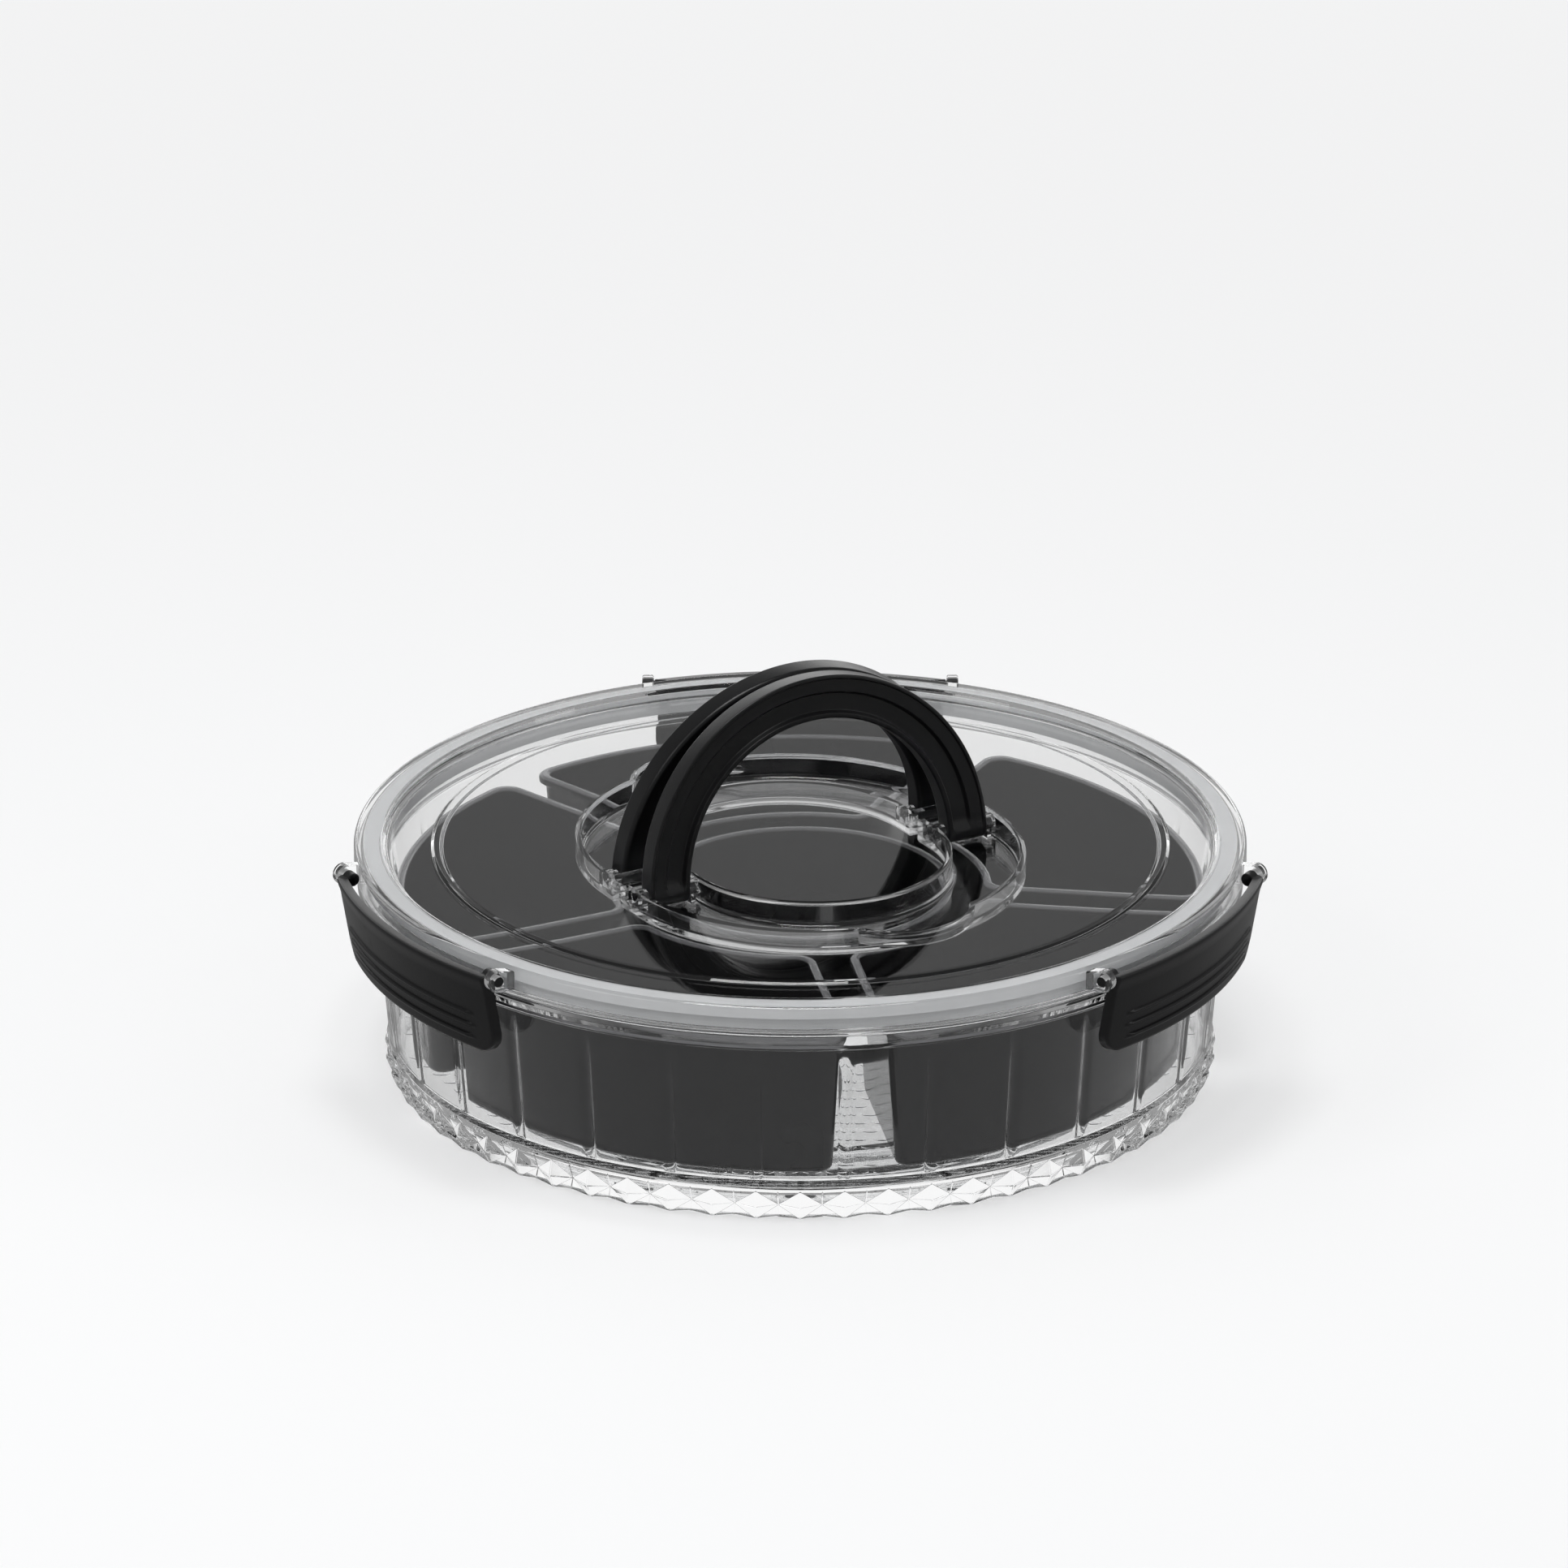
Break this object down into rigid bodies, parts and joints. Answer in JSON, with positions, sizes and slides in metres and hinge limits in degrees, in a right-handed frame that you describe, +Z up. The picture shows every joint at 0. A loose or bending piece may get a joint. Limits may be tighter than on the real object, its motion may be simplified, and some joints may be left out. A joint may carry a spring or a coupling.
{
  "type": "rotating storage caddy",
  "caption": "Round clear turntable tray with black lift-out bins around a round cup, under a clear lid with a folding twin handle and swing-down clips.",
  "frame": {"origin": "on the floor under the turntable's axis", "axes": "+Z up along the turntable's axis, -Y towards the picture's camera, +X to its right"},
  "size_m": [0.3128, 0.3075, 0.1409],
  "materials": {
    "clear_plastic": "clear gloss",
    "black_gloss": "gloss",
    "black_satin": "satin",
    "seal_silicone": "soft satin",
    "foot_rubber": "matt",
    "steel": "polished"
  },
  "bodies": {
    "base": {"base": "clear_plastic", "base_feet": "foot_rubber"},
    "ball_ring": {"ball_cage": "clear_plastic", "bearing_balls": "steel"},
    "turntable": {"deck": "clear_plastic", "tray": "clear_plastic", "pivot_screw": "steel", "pivot_washer": "steel"},
    "lid": {"lid": "clear_plastic", "lid_seal": "seal_silicone"},
    "bin_right": {"bin_right": "black_gloss"},
    "bin_back": {"bin_back": "black_gloss"},
    "bin_left": {"bin_left": "black_gloss"},
    "bin_front_left": {"bin_front_left": "black_gloss"},
    "bin_front_right": {"bin_front_right": "black_gloss"},
    "centre_cup": {"centre_cup": "black_gloss"},
    "handle_front": {"handle_front": "black_satin"},
    "handle_rear": {"handle_rear": "black_satin"},
    "clip_back": {"clip_back": "black_satin"},
    "clip_left": {"clip_left": "black_satin"},
    "clip_right": {"clip_right": "black_satin"}
  },
  "joints": [
    {"name": "turntable_spin", "type": "hinge", "parent": "base", "child": "turntable", "pos_m": [0, 0, 0.01], "axis": [0, 0, 1], "continuous": true},
    {"name": "ball_ring_spin", "type": "hinge", "parent": "base", "child": "ball_ring", "pos_m": [0, 0, 0.0087], "axis": [0, 0, 1], "continuous": true},
    {"name": "lid_lift", "type": "slide", "parent": "turntable", "child": "lid", "axis": [0, 0, 1], "range_m": [0, 0.23]},
    {"name": "bin_right_lift", "type": "slide", "parent": "turntable", "child": "bin_right", "axis": [0, 0, 1], "range_m": [0, 0.125]},
    {"name": "bin_back_lift", "type": "slide", "parent": "turntable", "child": "bin_back", "axis": [0, 0, 1], "range_m": [0, 0.125]},
    {"name": "bin_left_lift", "type": "slide", "parent": "turntable", "child": "bin_left", "axis": [0, 0, 1], "range_m": [0, 0.125]},
    {"name": "bin_front_left_lift", "type": "slide", "parent": "turntable", "child": "bin_front_left", "axis": [0, 0, 1], "range_m": [0, 0.125]},
    {"name": "bin_front_right_lift", "type": "slide", "parent": "turntable", "child": "bin_front_right", "axis": [0, 0, 1], "range_m": [0, 0.125]},
    {"name": "centre_cup_lift", "type": "slide", "parent": "turntable", "child": "centre_cup", "axis": [0, 0, 1], "range_m": [0, 0.125]},
    {"name": "handle_front_fold", "type": "hinge", "parent": "lid", "child": "handle_front", "pos_m": [0.005, -0.00866, 0.07595], "axis": [-0.866, -0.5, 0], "range_deg": [-95, 0]},
    {"name": "handle_rear_fold", "type": "hinge", "parent": "lid", "child": "handle_rear", "pos_m": [-0.005, 0.00866, 0.07595], "axis": [0.866, 0.5, 0], "range_deg": [-95, 0]},
    {"name": "clip_back_swing", "type": "hinge", "parent": "lid", "child": "clip_back", "pos_m": [0, 0.14518, 0.07845], "axis": [-1, 0, 0], "range_deg": [-90, 0]},
    {"name": "clip_left_swing", "type": "hinge", "parent": "lid", "child": "clip_left", "pos_m": [-0.12573, -0.07259, 0.07845], "axis": [0.5, -0.866, 0], "range_deg": [-90, 0]},
    {"name": "clip_right_swing", "type": "hinge", "parent": "lid", "child": "clip_right", "pos_m": [0.12573, -0.07259, 0.07845], "axis": [0.5, 0.866, 0], "range_deg": [-90, 0]}
  ],
  "couplings": [
    {"joint": "ball_ring_spin", "follows": "turntable_spin", "ratio": 0.5},
    {"joint": "bin_right_lift", "follows": "lid_lift", "ratio": 0.54},
    {"joint": "bin_back_lift", "follows": "lid_lift", "ratio": 0.54},
    {"joint": "bin_left_lift", "follows": "lid_lift", "ratio": 0.54},
    {"joint": "bin_front_left_lift", "follows": "lid_lift", "ratio": 0.54},
    {"joint": "bin_front_right_lift", "follows": "lid_lift", "ratio": 0.54},
    {"joint": "centre_cup_lift", "follows": "lid_lift", "ratio": 0.54}
  ]
}
